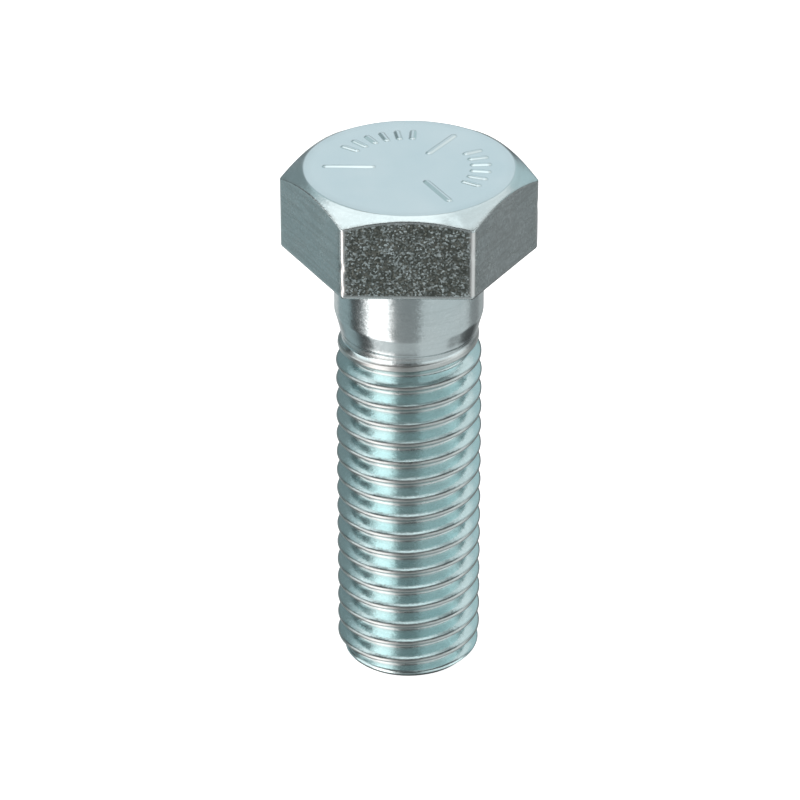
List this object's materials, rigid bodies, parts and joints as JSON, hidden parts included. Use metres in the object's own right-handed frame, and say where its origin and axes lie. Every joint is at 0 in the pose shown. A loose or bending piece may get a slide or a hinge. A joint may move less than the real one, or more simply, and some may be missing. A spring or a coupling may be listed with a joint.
{
  "type": "hex bolt",
  "caption": "Hex bolt with a chamfered hexagon head, a short plain shank and a right-hand coarse thread, for clamping parts with a nut or in a tapped hole.",
  "frame": {"origin": "centre of the bearing face, the flat ring under the head that clamps on the joint", "axes": "+Z from the bearing face through the head to its marked top face, the threaded shank along -Z, two hexagon corners on the X axis and two flats facing along Y"},
  "size_m": [0.0274, 0.0238, 0.0602],
  "materials": {
    "zinc_plated_steel": "clear blue-white zinc plating over forged and rolled steel, satin to bright"
  },
  "bodies": {
    "root": {"hex_bolt": "zinc_plated_steel"}
  },
  "joints": []
}
